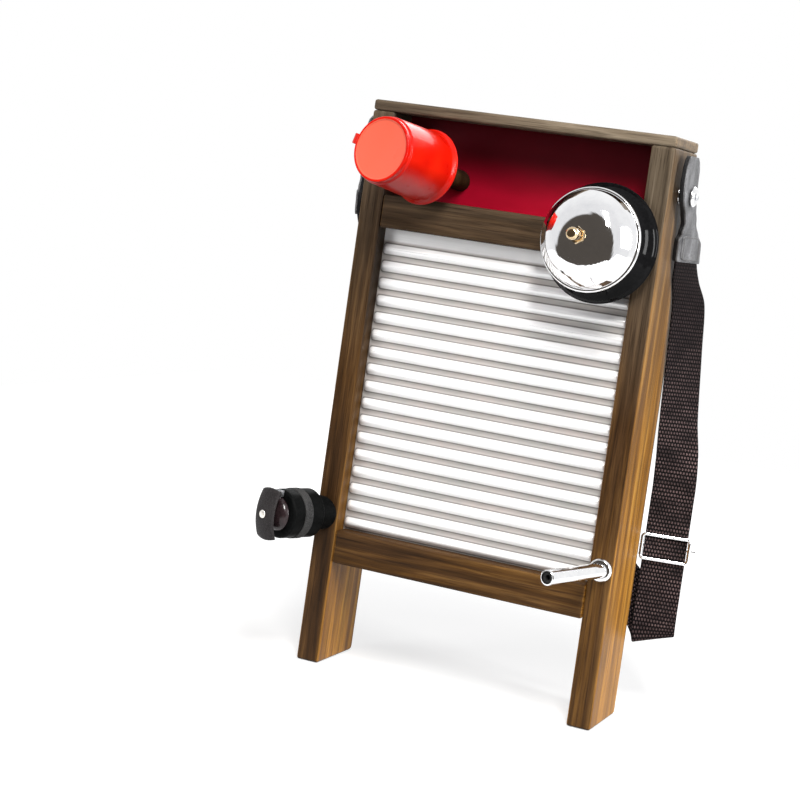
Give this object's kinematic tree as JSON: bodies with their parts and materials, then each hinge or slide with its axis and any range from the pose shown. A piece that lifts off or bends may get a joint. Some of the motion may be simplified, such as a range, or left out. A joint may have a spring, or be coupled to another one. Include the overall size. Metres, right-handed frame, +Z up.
{
  "type": "washboard frottoir",
  "caption": "Wooden washboard frottoir with ridged metal plate and recessed header, carrying a mug, call bell, sprung castanet, striking tube and a shoulder strap with sliding buckle.",
  "frame": {"origin": "middle of the whole instrument's footprint, at the level of the feet", "axes": "+Z up the board, -Y out of the front of the ridged plate towards the player's hands, +X to the right seen from the front"},
  "size_m": [0.304, 0.1566, 0.43],
  "materials": {
    "wood": "dark stained, satin oiled",
    "beech": "bare, sanded",
    "panel": "crimson paint, satin",
    "plate": "bright galvanised, pressed",
    "enamel": "glossy red-orange enamel",
    "chrome": "polished",
    "brass": "polished",
    "steel": "zinc plated",
    "bell_black": "glossy black enamel",
    "castanet_gloss": "glossy, near black",
    "castanet_matt": "matt black",
    "band": "rough, dark grey",
    "shell": "textured, dark grey",
    "leather": "grained, dark grey",
    "webbing": "woven, black brown"
  },
  "bodies": {
    "frame": {"left_post": "wood", "right_post": "wood", "top_board": "wood", "mid_rail": "wood", "bottom_rail": "wood", "mug_block": "wood", "dowel_upper_left": "beech", "dowel_lower_left": "beech", "dowel_upper_right": "beech", "dowel_lower_right": "beech", "header_panel": "panel", "washboard_plate": "plate", "mug_body": "enamel", "mug_handle": "enamel", "bell_dome": "chrome", "tube_rosette": "chrome", "striking_tube": "chrome", "strap_button_left": "chrome", "strap_button_right": "chrome", "bell_dome_nut": "brass", "top_screw_front_left": "steel", "top_screw_back_left": "steel", "top_screw_front_right": "steel", "top_screw_back_right": "steel", "mug_boss": "steel", "mug_washer": "steel", "mug_bolt": "steel", "bell_pillar": "steel", "bell_bracket": "steel", "bell_hammer_pin": "steel", "bell_return_spring": "steel", "bell_washer": "steel", "bell_bolt": "steel", "tube_foot_plug": "steel", "tube_washer": "steel", "tube_bolt": "steel", "castanet_hinge_block": "steel", "castanet_hinge_pin": "steel", "castanet_spring": "steel", "castanet_washer": "steel", "castanet_bolt": "steel", "strap_screw_left": "steel", "strap_screw_right": "steel", "bell_base": "bell_black", "castanet_dome": "castanet_gloss", "bell_pad": "castanet_matt", "tube_end_plug": "castanet_matt", "castanet_foot": "castanet_matt", "castanet_barrel": "castanet_matt", "castanet_band": "band", "strap_tab_left": "leather", "strap_tab_right": "leather", "strap_webbing": "webbing"},
    "plunger": {"bell_plunger": "brass"},
    "hammer": {"bell_hammer": "steel"},
    "clapper": {"castanet_shell": "shell", "castanet_rivet": "chrome"},
    "buckle": {"buckle_frame": "chrome", "buckle_bar": "chrome"}
  },
  "joints": [
    {"name": "bell_press", "type": "slide", "parent": "frame", "child": "plunger", "axis": [0.0799, 0.9934, -0.0819], "range_m": [0, 0.003], "stiffness_N_per_m": 180},
    {"name": "bell_strike", "type": "hinge", "parent": "frame", "child": "hammer", "pos_m": [0.08271, -0.03721, 0.34947], "axis": [-0.0066, -0.0817, -0.9966], "range_deg": [0, 13.6]},
    {"name": "castanet_clap", "type": "hinge", "parent": "frame", "child": "clapper", "pos_m": [-0.13772, -0.05217, 0.1296], "axis": [0.9272, -0.3746, 0], "range_deg": [0, 12], "stiffness_Nm_per_rad": 0.03},
    {"name": "strap_buckle", "type": "slide", "parent": "frame", "child": "buckle", "axis": [0, 0, 1], "range_m": [-0.009, 0.009]}
  ],
  "couplings": [
    {"joint": "bell_strike", "follows": "bell_press", "rad_per_m": 78.5}
  ]
}
